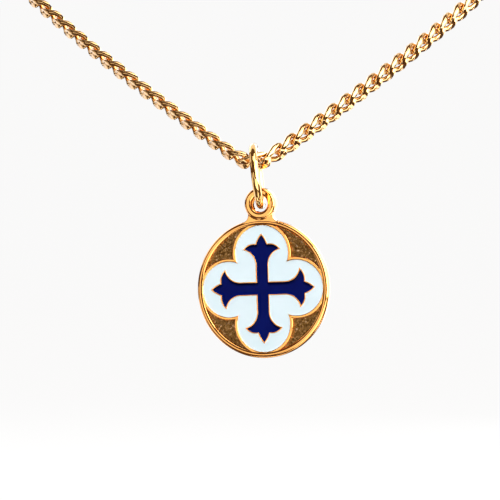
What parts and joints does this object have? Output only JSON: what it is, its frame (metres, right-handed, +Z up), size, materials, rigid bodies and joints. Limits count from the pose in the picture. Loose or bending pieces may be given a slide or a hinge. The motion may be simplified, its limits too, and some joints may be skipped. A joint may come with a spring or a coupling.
{
  "type": "cross pendant necklace",
  "caption": "Curb chain necklace with a round medal: a navy enamel cross with lily-shaped arm ends on a white quatrefoil inside a polished gold rim, hung from a jump ring.",
  "frame": {"origin": "middle of the clasp, where the chain sits on the nape of the neck", "axes": "+Z up, -Y to the front where the medal hangs, +X to the wearer's left"},
  "size_m": [0.1254, 0.0999, 0.1488],
  "materials": {
    "gold": "polished, gold plated",
    "white_enamel": "glossy hard enamel",
    "blue_enamel": "glossy hard enamel"
  },
  "bodies": {
    "necklace": {"chain_left": "gold", "chain_right": "gold", "clasp": "gold"},
    "jump_ring": {"bail_ring": "gold"},
    "medal": {"medal": "gold", "white_enamel": "white_enamel", "blue_enamel": "blue_enamel"}
  },
  "joints": [
    {"name": "ring_swing", "type": "hinge", "parent": "necklace", "child": "jump_ring", "pos_m": [0, -0.0933, -0.11942], "axis": [1, 0, 0], "range_deg": [-90, 90]},
    {"name": "medal_swing", "type": "hinge", "parent": "jump_ring", "child": "medal", "pos_m": [0.00077, -0.09336, -0.12554], "axis": [0.0732, 0.9973, 0], "range_deg": [-50, 50]}
  ]
}
